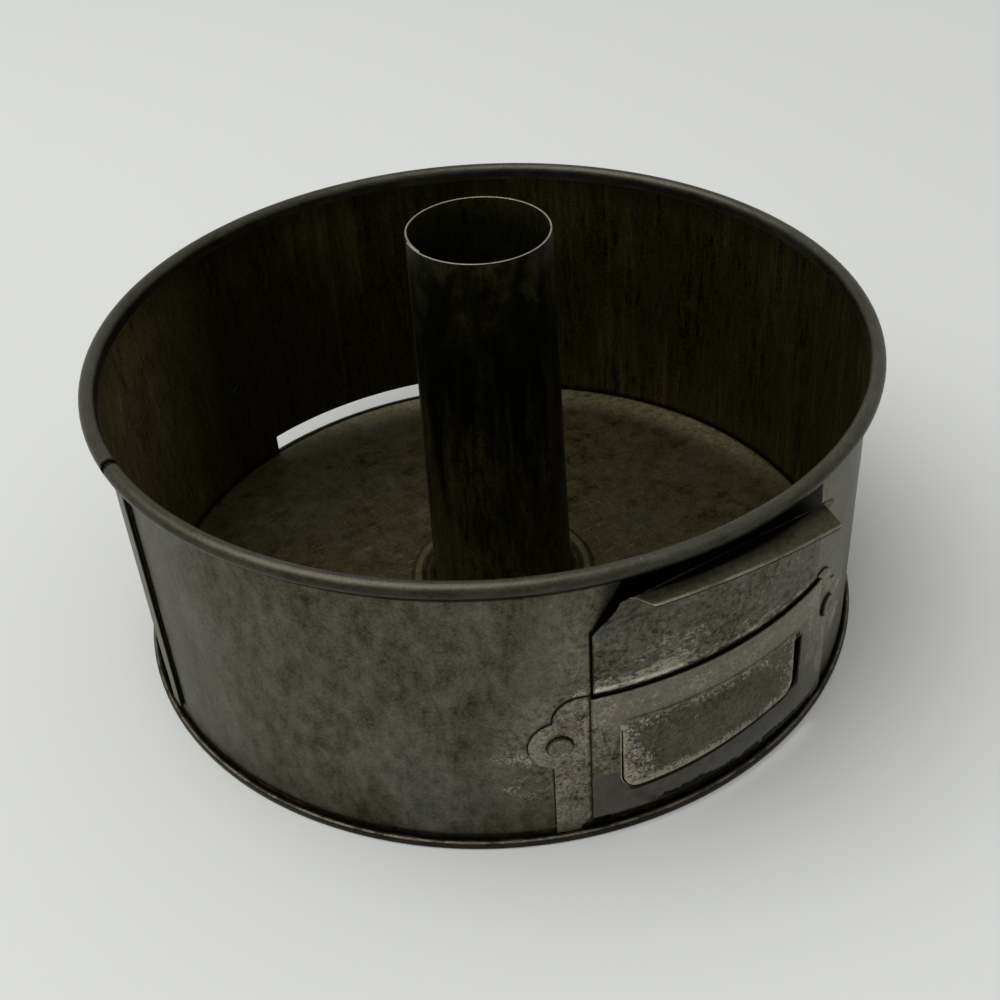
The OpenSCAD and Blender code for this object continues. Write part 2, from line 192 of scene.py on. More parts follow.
class Graph:
    """The node tree of one material, with the place on its surface in millimetres."""

    def __init__(self, name: str) -> None:
        """Makes an empty material and the coordinates that its patterns use.

        Args:
            name: the material's name.
        """
        self.material = bpy.data.materials.new(name)
        self.material.use_nodes = True
        self.tree = self.material.node_tree
        self.tree.nodes.clear()
        self.place = self.node("ShaderNodeTexCoord", {}, {}, "Object")
        self.x, self.y, self.z = (
            self.node("ShaderNodeSeparateXYZ", {}, {0: self.place}, axis) * (1.0 / MM)
            for axis in "XYZ")
        self.r = self.span(self.x, self.y)
        self.noises: dict[tuple, Value] = {}

    def node(self, kind: str, settings: dict, inputs: dict, output: Union[int, str] = 0) -> Value:
        """Adds one node.

        Args:
            kind: the node's type.
            settings: its properties, which are set first.
            inputs: values or links, by socket name or number.
            output: the output that is wanted.

        Returns:
            The wanted output.
        """
        made = self.tree.nodes.new(kind)
        for key, setting in settings.items():
            setattr(made, key, setting)
        for key, value in inputs.items():
            socket = made.inputs[key]
            if isinstance(value, Value):
                self.tree.links.new(value.socket, socket)
            elif socket.type == "RGBA":
                socket.default_value = (*value, 1.0)
            else:
                socket.default_value = value
        return Value(self, made.outputs[output] if made.outputs else None)

    @staticmethod
    def span(one: Value, two: Value) -> Value:
        """The distance that two distances at right angles make."""
        return (one * one + two * two).root()

    def across(self, turned: float) -> Value:
        """Distance sideways from the centre line of a gate, turned so many degrees."""
        a = math.radians(turned)
        return self.x * math.cos(a) + self.y * math.sin(a)

    def outwards(self, turned: float) -> Value:
        """Distance straight out from the pan's axis, square to such a gate."""
        a = math.radians(turned)
        return self.x * math.sin(a) - self.y * math.cos(a)

    def arc(self, turned: float) -> Value:
        """Length along the wall from such a gate's centre line, positive to +X on the front."""
        return self.across(turned).angle(self.outwards(turned)) * WALL_R

    def unrolled(self, radius: float) -> Value:
        """Places round the axis, upwards and outwards, in metres, cut open on the -X side."""
        along = self.y.angle(self.x) * (radius * MM)
        return self.node("ShaderNodeCombineXYZ", {}, {0: along, 1: self.z * MM, 2: self.r * MM})

    def noise(self, size: float, detail: float = 3.0, rough: float = 0.5,
              stretch: Colour = EVEN, shift: float = 0.0,
              place: "Value | None" = None) -> Value:
        """Cloudy noise from 0 to 1.

        Args:
            size: the size of its larger patches, in millimetres.
            detail: how many finer octaves it has.
            rough: how strong they are.
            stretch: how many times longer the patches are along each axis.
            shift: moves the pattern, so that two layers differ.
            place: the coordinates, where they aren't the Object ones.

        Returns:
            The noise, which is the same nodes where the same noise was asked for before.
        """
        where = place or self.place
        key = (size, detail, rough, stretch, shift, where.socket.node.name)
        if key not in self.noises:
            moved = self.node(
                "ShaderNodeMapping", {},
                {"Vector": where, "Location": (shift, shift * 0.7, shift * 1.3),
                 "Scale": tuple(1.0 / s for s in stretch)})
            self.noises[key] = self.node(
                "ShaderNodeTexNoise", {},
                {"Vector": moved, "Scale": 1.0 / (size * MM), "Detail": detail,
                 "Roughness": rough})
        return self.noises[key]

    def mix(self, first: Paint, second: Paint, factor: Number) -> Value:
        """Blends two colours."""
        return self.node("ShaderNodeMix", {"data_type": "RGBA"}, {0: factor, 6: first, 7: second},
                         2)

    def shaded(self, colour: Paint, factor: Number) -> Value:
        """Makes a colour darker or lighter."""
        return self.node("ShaderNodeVectorMath", {"operation": "SCALE"},
                         {0: colour, "Scale": factor})

    def blend(self, first: Number, second: Number, factor: Number) -> Value:
        """Blends two numbers."""
        return self.node("ShaderNodeMix", {"data_type": "FLOAT"}, {0: factor, 2: first, 3: second})

    def close(self, coat: "Coat", specular: float = 0.3) -> bpy.types.Material:
        """Ends the tree in a metal shader.

        Args:
            coat: what covers the surface.
            specular: the gloss of what isn't metal, the same all over.

        Returns:
            The material.
        """
        bump = self.node("ShaderNodeBump", {}, {"Distance": MM, "Height": coat.relief}, "Normal")
        shader = self.node(
            "ShaderNodeBsdfPrincipled", {},
            {"Base Color": coat.colour, "Metallic": coat.metallic, "Roughness": coat.roughness,
             "Specular IOR Level": specular, "Normal": bump})
        self.node("ShaderNodeOutputMaterial", {}, {"Surface": shader})
        return self.material


@dataclass(frozen=True)
class Coat:
    """What covers a surface: its colour, bare metal and roughness, and its relief in mm."""

    colour: Paint
    metallic: Number
    roughness: Number
    relief: Number

    def under(self, other: "Coat", *masks: Value) -> "Coat":
        """Covers this coat with another one, once for each mask.

        Args:
            other: the coat that goes on top.
            masks: where it goes, from 0 to 1.

        Returns:
            Both together.
        """
        coat = self
        for mask in masks:
            g = mask.graph
            coat = Coat(g.mix(coat.colour, other.colour, mask),
                        g.blend(coat.metallic, other.metallic, mask),
                        g.blend(coat.roughness, other.roughness, mask),
                        g.blend(coat.relief, other.relief, mask))
        return coat


@dataclass(frozen=True)
class Tarnish:
    """Tinplate that has gone dull: two tones in soft clouds, with blotches and grain in both.

    The grain is the size of one fleck in millimetres, and the contrast says how strongly clouds,
    blotches and grain lighten and darken the tone.
    """

    warm: Colour
    cool: Colour
    cloud: float = 26.0
    metallic: float = 0.9
    roughness: float = 0.5
    depth: float = 0.05
    stretch: Colour = EVEN
    contrast: float = 1.0
    grain: float = 0.9

    def coat(self, g: Graph, place: "Value | None" = None) -> Coat:
        """Lays the tarnish.

        Args:
            g: the material's graph.
            place: the coordinates of its patterns.

        Returns:
            The coat.
        """
        cloud = g.noise(self.cloud, 4.0, 0.55, self.stretch, 0.3, place)
        patch = g.noise(self.cloud / 6.0, 4.0, 0.65, self.stretch, 0.9, place)
        grain = g.noise(self.grain, 2.0, 0.7, EVEN, 1.7, place)
        tone = g.mix(self.warm, self.cool, (cloud * 0.55 + patch * 0.45).rise(0.40, 0.60))
        shade = 1.0 + self.contrast * (0.9 * cloud + 2.0 * patch + 1.2 * grain - 2.05)
        return Coat(g.shaded(tone, shade.most(0.15)),
                    self.metallic - 0.15 * cloud.rise(0.4, 0.7),
                    self.roughness - 0.1 + 0.2 * patch,
                    cloud * (3.0 * self.depth) + grain * self.depth)


@dataclass(frozen=True)
class Plain:
    """A covering of one colour, such as bare tin, rust, soot, or painted shade in a corner."""

    colour: Colour
    metallic: float
    roughness: float
    depth: float = 0.0

    def coat(self, g: Graph) -> Coat:
        """Lays the covering, a little uneven in its grain.

        Args:
            g: the material's graph.

        Returns:
            The coat.
        """
        grain = g.noise(0.7, 2.0, 0.6, EVEN, 2.9)
        return Coat(g.shaded(self.colour, 0.2 + 1.6 * grain), self.metallic,
                    self.roughness - 0.05 + 0.1 * grain, grain * self.depth)


BARE_TIN = Plain((0.40, 0.37, 0.275), 0.9, 0.42, 0.05)
BRIGHT_TIN = Plain((0.72, 0.69, 0.58), 0.9, 0.38, 0.05)
# Worn tin on edges, which also serves as painted highlights along edges and crests
WORN_EDGE_AND_HIGHLIGHT = Plain((0.30, 0.28, 0.215), 0.9, 0.40)
# Soot, which also stands in for painted shade in corners, gaps and under overhangs
SOOT_AND_SHADE = Plain((0.004, 0.0034, 0.002), 1.0, 0.7, 0.04)
RUST = Plain((0.055, 0.026, 0.012), 0.3, 0.85, 0.05)


def specks(g: Graph, region: Value, size: float = 0.9, shift: float = 4.0,
           place: "Value | None" = None, stretch: Colour = EVEN) -> Value:
    """Fine flecks of worn tin that crowd where the region mask is high.

    Args:
        g: the material's graph.
        region: how worn each place is, from 0 to 1.
        size: the size of a fleck, in millimetres.
        shift: moves the pattern.
        place: the coordinates, where they aren't the Object ones.
        stretch: how many times longer a fleck is along each axis.

    Returns:
        The mask of the flecks.
    """
    fleck = g.noise(size, 3.0, 0.7, stretch, shift, place)
    patch = g.noise(size * 7.0, 3.0, 0.6, stretch, shift + 1.0, place)
    return (fleck * 0.65 + patch * 0.35 + region * 0.3 - 0.13).rise(0.52, 0.66)


@dataclass(frozen=True)
class WallFinish:
    """The wall, its rolled rim and its lock seam: grey outside and nearly black inside."""

    outside: Tarnish = Tarnish((0.074, 0.063, 0.038), (0.069, 0.067, 0.053), 26.0, 0.9, 0.46,
                               0.04, (1.0, 1.7, 1.0), 1.4)
    rubbed: Tarnish = Tarnish((0.140, 0.128, 0.088), (0.112, 0.110, 0.090), 12.0, 0.9, 0.44,
                              0.05, EVEN, 1.5, 0.8)
    inside: Tarnish = Tarnish((0.044, 0.035, 0.011), (0.019, 0.016, 0.006), 9.0, 0.98, 0.55,
                              0.05, (1.0, 6.0, 1.0), 2.0, 0.8)
    # A lighter tone for the painted reflection on the inside wall's -X side and for its light
    # streaks
    sheen_and_streaks: Tarnish = Tarnish((0.235, 0.190, 0.070), (0.165, 0.138, 0.056), 9.0, 0.98, 0.55,
                               0.05, (1.0, 5.0, 1.0), 1.6, 0.8)
    rim: Tarnish = Tarnish((0.038, 0.034, 0.023), (0.034, 0.033, 0.026), 16.0, 0.9, 0.40, 0.03,
                           (3.0, 1.0, 1.0), 1.0, 0.8)
    gates: tuple[float, float] = (0.0, 178.4)

    @staticmethod
    def _flange_gap(g: Graph, side: Value) -> Value:
        """Distance from the outline of a holder's flange.

        Args:
            g: the material's graph.
            side: the distance along the wall from the gate's centre line.

        Returns:
            The distance in millimetres, negative under the flange.
        """
        ear = g.span(side - RIVET_ARC, g.z - RIVET_Z) - EAR_R
        over, up = side - (FLANGE_HALF - SHOULDER_R), g.z - (HOLDER_TOP - SHOULDER_R)
        shoulder = g.span(over, up) - SHOULDER_R
        strip = (side - FLANGE_HALF).most(up)
        return ear.least(shoulder).least(strip)

    @staticmethod
    def _slide_gap(g: Graph, side: Value) -> Value:
        """Distance sideways from the outline of a raised slide, in millimetres."""
        return side - (SLIDE_HALF - 3.7 * g.z.rise(FACE_TOP - SLIDE_CORNER, FACE_TOP))

    def _gate_wear(self, g: Graph, coat: Coat, turned: float, ragged: Value, rubbed: Coat,
                   tin: Coat, soot_and_shade: Coat) -> Coat:
        """Wear, dirt and painted shade on the wall round one gate.

        Args:
            g: the material's graph.
            coat: the wall's coat so far.
            turned: the gate's turn from the front, in degrees.
            ragged: the noise that breaks the edges up.
            rubbed: the coat of rubbed places.
            tin: bare tin.
            soot_and_shade: soot.

        Returns:
            The coat with the wear on it.
        """
        side = abs(g.arc(turned))
        flange, slide = self._flange_gap(g, side), self._slide_gap(g, side)
        bright = flange.rise(18.0, 2.0) * (ragged * 2.0).least(1.0)
        coat = coat.under(rubbed, (bright * g.z.rise(6.0, 20.0)).most(
            slide.rise(20.0, 4.0) * g.z.within(52.0, 88.0, 6.0) * 0.85) * 0.88)
        worn = (side - RIVET_ARC - 7.0).within(-4.0, 14.0, 5.0) * g.z.within(14.0, 42.0, 8.0)
        above = slide.rise(16.0, 2.0) * g.z.within(48.0, 60.0, 5.0)
        coat = coat.under(tin, specks(g, worn.most(above) * ragged * 2.2 - 0.66, 0.6,
                                      4.0 + turned) * 0.75)
        # lean and shaded place a painted shadow on the wall behind the slide's raised corner
        lean = 0.55 - 0.45 * g.arc(turned).rise(-5.0, 5.0)
        shaded = side - SLIDE_HALF + (g.z - 73.0).most(0.0) * lean
        crust = side.rise(41.0, 37.5) * g.z.rise(9.2, 7.0)
        # Painted shade mixed with dirt along the flange's outline and beside the slide, painted
        # shadow behind the slide's corner, and real crust at the foot
        return coat.under(soot_and_shade, flange.within(-0.6, 0.35, 0.35) * g.z.rise(5.0, 7.0) * 0.9,
                          slide.within(-0.8, 0.5, 0.3) * g.z.within(50.0, 74.0, 1.0),
                          shaded.rise(0.7, -0.3) * g.z.rise(72.0, 74.0),
                          crust * (ragged * 2.2).least(1.0))

    def material(self) -> bpy.types.Material:
        """Lays the coats one over the other.

        Returns:
            The material.
        """
        g = Graph("wall_finish")
        flat = g.unrolled(WALL_R)
        on_rim = g.z.rise(BEAD_FOOT - 0.4, BEAD_FOOT + 0.6)
        is_inside = g.r.rise(WALL_MID_R + 0.05, WALL_MID_R - 0.05) * (1.0 - on_rim)
        outside, rubbed = self.outside.coat(g, flat), self.rubbed.coat(g)
        coat = outside
        tin, edge, soot_and_shade, rust = (p.coat(g) for p in (BARE_TIN, WORN_EDGE_AND_HIGHLIGHT, SOOT_AND_SHADE, RUST))
        ragged = g.noise(5.0, 4.0, 0.65, (2.0, 1.0, 1.0), 6.0, flat)
        seam = g.arc(SEAM_AT + 90.0)
        for turned in self.gates:
            coat = self._gate_wear(g, coat, turned, ragged, rubbed, tin, soot_and_shade)
        coat = coat.under(tin, specks(g, ragged * 0.3 - 0.70, 0.9, 15.0) * 0.6)
        coat = coat.under(rubbed, abs(seam).rise(SEAM_W / 2.0, SEAM_W / 2.0 - 0.4) * 0.7)
        # Darker towards the bottom, and darker still in a ragged band just above the hem
        coat = coat.under(soot_and_shade, g.z.rise(34.0, 4.0) * 0.16,
                          g.z.rise(4.6, 3.4) * (0.5 + 0.4 * ragged.rise(0.3, 0.6)))
        coat = coat.under(rust, g.z.rise(3.9, 3.0) * ragged.rise(0.5, 0.65) * 0.6)
        inner = self.inside.coat(g, flat)
        lit = g.noise(60.0, 2.0, 0.5, EVEN, 21.0)
        streaks = g.noise(4.0, 2.0, 0.6, (1.0, 14.0, 1.0), 17.0, flat)
        # Painted reflection: the inside wall is lighter towards -X; the light vertical streaks are
        # real stains
        inner = inner.under(self.sheen_and_streaks.coat(g, flat),
                            (g.x.rise(-40.0, -100.0) * (lit * 1.8).least(1.0)).most(
                                (lit * 0.4 + streaks * 0.6).rise(0.5, 0.66) * 0.16))
        inner = inner.under(tin, specks(g, lit * 0.5 - 0.95, 1.3, 9.0) * 0.4)
        # Painted shade in the inside corner at the floor, and darker towards the top
        inner = inner.under(soot_and_shade, g.z.rise(5.4, FLOOR_TOP) * 0.8, g.z.rise(80.0, 90.0) * 0.45)
        rim = self.rim.coat(g, flat)
        # Painted highlight along the rim's crest, with worn flecks on it
        crest = g.z.rise(BEAD_Z + 0.8, BEAD_Z + 2.1)
        rim = rim.under(edge, crest * (0.08 + 0.5 * specks(g, crest * 0.6 - 0.45, 1.2, 12.0)))
        joint = abs(g.arc(RIM_JOINT_AT + 90.0)).rise(1.7, 1.2)
        rim = rim.under(soot_and_shade, joint * 0.95)
        coat = coat.under(inner, is_inside).under(rim, on_rim)
        # Painted shade on the wall under the rim bead, broken up with grime
        outer = g.r.rise(WALL_R - 0.2, WALL_R - 0.05)
        coat = coat.under(soot_and_shade, outer * (g.z.within(87.5, 90.6, 0.3) * 0.8).most(
            g.z.within(90.6, 91.6, 0.25) * (ragged * 1.9).least(1.0)))
        # Painted shadow beneath the lock seam's folded edge
        groove = (seam - SEAM_W / 2.0 + 0.1).rise(-0.3, 0.1) * (
            seam - SEAM_W / 2.0 - 0.65 - g.z * 0.010).rise(0.3, -0.3)
        coat = coat.under(soot_and_shade, groove * g.z.within(SEAM_FOOT, BEAD_FOOT - 0.3, 0.5)
                          * g.r.rise(WALL_R - 0.4, WALL_R - 0.2) * 0.97)
        return g.close(coat)


@dataclass(frozen=True)
class FloorFinish:
    """The floor: olive brown and dull, scoured round the tube, with painted shade along the wall.
    """

    face: Tarnish = Tarnish((0.064, 0.053, 0.020), (0.040, 0.036, 0.017), 30.0, 0.9, 0.50, 0.06,
                            contrast=1.4, grain=0.8)
    # A lighter tone for the painted reflection on the far part of the floor
    far: Tarnish = Tarnish((0.22, 0.19, 0.095), (0.16, 0.145, 0.082), 16.0, 0.9, 0.50, 0.06,
                           contrast=1.4, grain=0.8)
    hem: Tarnish = Tarnish((0.017, 0.014, 0.008), (0.013, 0.012, 0.008), 14.0, 0.9, 0.46, 0.04,
                           contrast=1.2, grain=0.8)
    ring: Plain = Plain((0.17, 0.145, 0.062), 0.85, 0.42)

    def material(self) -> bpy.types.Material:
        """Lays the coats one over the other.

        Returns:
            The material.
        """
        g = Graph("floor_finish")
        coat = self.face.coat(g)
        tin, soot_and_shade, rust = (p.coat(g) for p in (BARE_TIN, SOOT_AND_SHADE, RUST))
        scour = g.noise(1.1, 4.0, 0.65, (7.0, 1.0, 1.0), 3.0)
        scour_two = g.noise(1.0, 4.0, 0.65, (1.0, 8.0, 1.0), 5.0)
        worn = g.r.rise(90.0, 32.0)
        # Painted reflection: the floor is lighter near the far wall
        coat = coat.under(self.far.coat(g), g.r.rise(94.0, 107.0) * (g.x + g.y).rise(70.0, 140.0))
        coat = coat.under(tin, (scour.most(scour_two) + worn * 0.07).rise(0.62, 0.85) * 0.22)
        coat = coat.under(self.ring.coat(g), g.z.rise(3.6, 4.1) * scour * 0.5)
        # Painted shade in the corners along the wall and round the tube's foot
        coat = coat.under(soot_and_shade, g.r.rise(108.6, 110.3) * 0.9, g.r.rise(26.0, 23.5) * 0.8)
        below = g.r.rise(WALL_R, WALL_R + 0.2)
        ragged = g.noise(6.0, 3.0, 0.6)
        coat = coat.under(self.hem.coat(g), below)
        # Painted highlight along the hem's top edge, with some wear
        coat = coat.under(WORN_EDGE_AND_HIGHLIGHT.coat(g), g.z.near(HEM_TOP, 0.35) * g.r.rise(112.2, 112.6)
                          * (0.08 + 0.35 * ragged.rise(0.4, 0.6)))
        # Painted shade at the hem's foot and in the gap between the hem and the wall
        coat = coat.under(soot_and_shade, below * (g.z.rise(1.0, 0.2).most(g.r.rise(112.3, 111.6)) * 0.8))
        coat = coat.under(rust, below * ragged.rise(0.52, 0.68) * 0.35)
        return g.close(coat)


@dataclass(frozen=True)
class TubeFinish:
    """The centre tube: burnt nearly black, brownish below, with a bright raw top edge."""

    face: Tarnish = Tarnish((0.008, 0.007, 0.0024), (0.0035, 0.0034, 0.0014), 12.0, 1.0, 0.5, 0.04,
                            (1.0, 4.0, 1.0), 1.6, 0.8)
    foot: Tarnish = Tarnish((0.105, 0.092, 0.040), (0.045, 0.041, 0.019), 8.0, 1.0, 0.50, 0.05,
                            (1.0, 5.0, 1.0), 1.8, 0.8)
    bore: Tarnish = Tarnish((0.022, 0.020, 0.008), (0.013, 0.012, 0.006), 8.0, 1.0, 0.6, 0.04,
                            (1.0, 3.0, 1.0), 1.6, 0.8)

    def material(self) -> bpy.types.Material:
        """Lays the coats one over the other.

        Returns:
            The material.
        """
        g = Graph("tube_finish")
        flat = g.unrolled(21.0)
        streak = g.noise(4.0, 4.0, 0.65, (1.0, 8.0, 1.0), 3.0, flat)
        coat = self.face.coat(g, flat)
        coat = coat.under(self.foot.coat(g, flat), (g.z * 0.005 - streak).rise(-0.02, -0.42))
        haze = g.noise(9.0, 3.0, 0.6, (1.0, 1.6, 1.0), 8.0, flat)
        coat = coat.under(self.foot.coat(g, flat), haze.rise(0.42, 0.75) * g.z.rise(88.0, 116.0)
                          * 0.45)
        middle = self.foot_r(g)
        coat = coat.under(self.bore.coat(g, flat), (g.r - middle).rise(0.02, -0.1))
        coat = coat.under(WORN_EDGE_AND_HIGHLIGHT.coat(g), g.z.rise(TUBE_TOP - 0.12, TUBE_TOP - 0.02) * 0.95)
        return g.close(coat, 0.12)

    @staticmethod
    def foot_r(g: Graph) -> Value:
        """The radius of the middle of the tube's sheet at each height."""
        return 22.35 - g.z * (2.1 / TUBE_TOP)


@dataclass(frozen=True)
class GateFinish:
    """What the pieces of one gate share: where the gate is, and how its tinplate has worn."""

    turned: float
    face: Tarnish = Tarnish((0.086, 0.076, 0.050), (0.071, 0.069, 0.055), 14.0, 0.9, 0.45, 0.06,
                            contrast=1.9, grain=1.0)


@dataclass(frozen=True)
class HolderFinish(GateFinish):
    """A holder: speckled flanges and tongue, and a smooth dark band below the tongue."""

    face: Tarnish = Tarnish((0.128, 0.114, 0.075), (0.106, 0.102, 0.082), 14.0, 0.9, 0.45, 0.06,
                            contrast=1.9, grain=1.0)
    smooth: Tarnish = Tarnish((0.074, 0.068, 0.057), (0.069, 0.065, 0.057), 22.0, 0.9, 0.40, 0.02,
                              contrast=0.7)
    rubbed: Tarnish = Tarnish((0.120, 0.108, 0.082), (0.106, 0.100, 0.082), 18.0, 0.9, 0.42, 0.02,
                              contrast=0.8)
    tongue: Tarnish = Tarnish((0.072, 0.063, 0.039), (0.064, 0.059, 0.042), 10.0, 0.9, 0.45, 0.08,
                              contrast=1.5, grain=0.8)
    corner: float = 4.5

    def _inside(self, g: Graph, s: Value, above: Value) -> Value:
        """Depth inside the tongue's outline.

        Args:
            g: the material's graph.
            s: the length along the wall from the gate's centre line.
            above: the height above the tongue's foot.

        Returns:
            The depth in millimetres, up to the radius of its corners.
        """
        beside = (self.corner - (s + TONGUE_LEFT).least(TONGUE_RIGHT - s)).most(0.0)
        under = (self.corner - above).most(0.0)
        return self.corner - g.span(beside, under)

    def material(self) -> bpy.types.Material:
        """Lays the coats one over the other.

        Returns:
            The material.
        """
        g = Graph(f"holder_finish_{self.turned:.0f}")
        s = g.arc(self.turned)
        side = abs(s)
        ragged = g.noise(4.0, 4.0, 0.65, EVEN, 6.0)
        tin, soot_and_shade, edge = BARE_TIN.coat(g), SOOT_AND_SHADE.coat(g), WORN_EDGE_AND_HIGHLIGHT.coat(g)
        on_plate = side.rise(POCKET_HALF + 0.4, POCKET_HALF - 0.2)
        above = g.z - TONGUE_FOOT - TONGUE_RISE * (s + TONGUE_LEFT).rise(4.0, 54.0)
        inside = self._inside(g, s, above)
        below_bend = g.z.rise(TONGUE_BEND + 0.5, TONGUE_BEND - 0.3)
        tongue = inside.rise(-0.3, 0.0) * below_bend
        coat = self.face.coat(g)
        coat = coat.under(self.rubbed.coat(g), ((s - TONGUE_RIGHT).rise(1.0, 2.5)
                          * g.z.rise(15.0, 25.0)).most(g.z.rise(41.5, 43.5) * 0.95) * on_plate)
        coat = coat.under(self.smooth.coat(g),
                          (21.5 + 5.0 * ragged - g.z).rise(-1.2, 1.2) * on_plate)
        coat = coat.under(tin, g.z.rise(41.5, 44.0) * on_plate * 0.12)
        coat = coat.under(self.tongue.coat(g), tongue)
        rubbed = inside.rise(2.4, 0.5) * (s.rise(26.0, -6.0).most(0.35))
        crease = g.z.near(TONGUE_BEND, 1.6) * inside.rise(0.0, 3.0)
        patches = inside.rise(4.4, 2.0).most((s + TONGUE_LEFT).rise(16.0, 3.0)).most(
            g.z.rise(36.0, 41.0) * 0.9).most((TONGUE_RIGHT - s).rise(14.0, 4.0) * 0.6)
        worn = tongue * (0.50 * patches + 0.36 * rubbed + 1.0 * ragged - 0.34)
        flange = side.rise(POCKET_HALF + 0.3, POCKET_HALF + 1.0) * (0.42 + 0.5 * ragged)
        upper = g.z.within(43.0, 50.5, 2.0) * on_plate * (0.28 + 0.6 * ragged)
        beside = (side - 33.0).rise(-1.0, 1.0) * on_plate * g.z.rise(20.0, 26.0) * (
            0.25 + 0.6 * ragged)
        coat = coat.under(tin, specks(g, worn.most(flange).most(upper).most(beside)
                                      .most(crease * (0.1 + ragged)), 0.9, 2.0 + self.turned)
                          * (0.40 + 0.34 * tongue))
        coat = coat.under(edge, tongue * inside.rise(1.1, 0.3) * s.rise(12.0, -16.0)
                          * ragged.rise(0.44, 0.56) * 0.6)
        # Painted shade in the crease just above the tongue's bend
        coat = coat.under(soot_and_shade, g.z.near(TONGUE_BEND + 1.4, 0.6) * inside.rise(0.0, 2.0) * 0.5)
        # Painted shade in the tongue's cut and under its lower edge, round the rivet head and on
        # the side face of the fold; real crust low on the plate
        cut = (TONGUE_RIGHT - s).within(-3.4, -0.1, 0.15) * above.rise(-1.2, -0.6) * g.z.rise(
            39.4, 39.0)
        below = inside.within(-2.1, 0.2, 0.2) * (s + TONGUE_LEFT).rise(1.0, 4.0) * below_bend
        crust = (6.0 + 7.0 * ragged - g.z).rise(-0.6, 0.6) * (s + 22.0).rise(-4.0, 4.0)
        head = g.span(side - RIVET_ARC, g.z - RIVET_Z)
        fold = side.near(POCKET_HALF + 0.5, 0.9) * g.r.within(WALL_R + 0.8, PLATE_R - 0.1, 0.2)
        coat = coat.under(soot_and_shade, cut.most(below) * 0.9, crust * on_plate,
                          head.within(3.3, 3.75, 0.2) * 0.75, fold * 0.85)
        coat = coat.under(edge, (side - POCKET_HALF - 1.5).near(0.0, 0.7)
                          * ragged.rise(0.35, 0.55) * 0.5)
        # Painted highlight along the plate's top edge
        lit = g.z.near(HOLDER_TOP, 0.35) * (g.r - PLATE_R).rise(-0.7, -0.3)
        coat = coat.under(edge, lit * 0.45)
        return g.close(coat)


@dataclass(frozen=True)
class SlideFinish(GateFinish):
    """A slide: tin rubbed bright just above its holder, and a dull lip with a painted highlight on
    its edge.
    """

    lip: Tarnish = Tarnish((0.056, 0.047, 0.029), (0.046, 0.041, 0.028), 12.0, 0.9, 0.42, 0.03,
                           contrast=0.9)

    def material(self) -> bpy.types.Material:
        """Lays the coats one over the other.

        Returns:
            The material.
        """
        g = Graph(f"slide_finish_{self.turned:.0f}")
        s = g.arc(self.turned)
        out = g.outwards(self.turned)
        flat = g.unrolled(WALL_R)
        ragged = g.noise(5.0, 4.0, 0.65, (2.0, 1.0, 1.0), 7.0, flat)
        coat = self.face.coat(g)
        tin, bright, edge, soot_and_shade = (p.coat(g) for p in (BARE_TIN, BRIGHT_TIN, WORN_EDGE_AND_HIGHLIGHT, SOOT_AND_SHADE))
        low = g.z.rise(HOLDER_TOP + 11.0, HOLDER_TOP + 2.0)
        region = (0.08 + 0.26 * g.z.rise(84.0, 58.0) + 0.24 * low * (0.6 + s.rise(10.0, -30.0))
                  + 1.1 * (ragged - 0.5))
        coat = coat.under(tin, specks(g, region, 1.2, 3.0 + self.turned, flat, (1.8, 1.0, 1.0))
                          * 0.6)
        pits = g.noise(1.6, 3.0, 0.7, (2.0, 1.0, 1.0), 11.0, flat).rise(0.58, 0.72)
        coat = coat.under(soot_and_shade, pits * 0.5)
        band = g.z.within(HOLDER_TOP + 1.2, HOLDER_TOP + 2.4, 0.6)
        corner = s.rise(14.0, -34.0)
        coat = coat.under(bright, specks(g, 0.9 * (ragged - 0.5) + 0.5 * corner * g.z.rise(
            HOLDER_TOP + 9.0, HOLDER_TOP + 3.0) - 0.36, 0.8, 21.0, flat, (2.2, 1.0, 1.0)) * 0.8)
        coat = coat.under(bright, band * (ragged + 0.08 * corner).rise(0.46, 0.58)
                          * (0.35 + 0.5 * corner))
        # Painted shadow of the holder's top edge on the slide
        coat = coat.under(soot_and_shade, g.z.rise(HOLDER_TOP + 1.3, HOLDER_TOP + 0.3) * 0.95)
        on_lip = out.rise(SLIDE_RC + 0.5, SLIDE_RC + 1.1) * g.z.rise(84.0, 85.0)
        coat = coat.under(self.lip.coat(g), on_lip)
        # Painted shadow of the rim on the lip
        coat = coat.under(soot_and_shade, on_lip * g.r.rise(116.0, 115.0) * g.z.rise(85.9, 86.15))
        across = g.across(self.turned)
        share = across * (1.0 / LIP_END_HALF)
        reach = LIP_OUT + share * (LIP_RIGHT_OUT - LIP_LEFT_OUT) * 0.5 + share * share * (
            (LIP_RIGHT_OUT + LIP_LEFT_OUT) * 0.5 - LIP_OUT)
        past, taper = out - SLIDE_RC, LIP_HALF - LIP_END_HALF
        left = LIP_HALF + across - past * (taper / LIP_LEFT_OUT)
        right = LIP_HALF - across - past * (taper / LIP_RIGHT_OUT)
        inset = (reach - past).least(left).least(right)
        # Painted highlight on the lip's free edge, with worn flecks
        coat = coat.under(edge, inset.rise(1.3, 0.6) * on_lip * g.z.rise(86.05, 86.15)
                          * (0.12 + 0.4 * ragged.rise(0.3, 0.6)))
        # Painted shade under the lip's free edge and along the slide's side edges low down
        coat = coat.under(soot_and_shade, inset.rise(0.3, 0.15) * on_lip * g.z.rise(86.2, 86.1) * 0.8,
                          (SLIDE_HALF - abs(s)).rise(0.9, 0.2) * g.z.rise(73.0, 70.0) * 0.6)
        return g.close(coat)


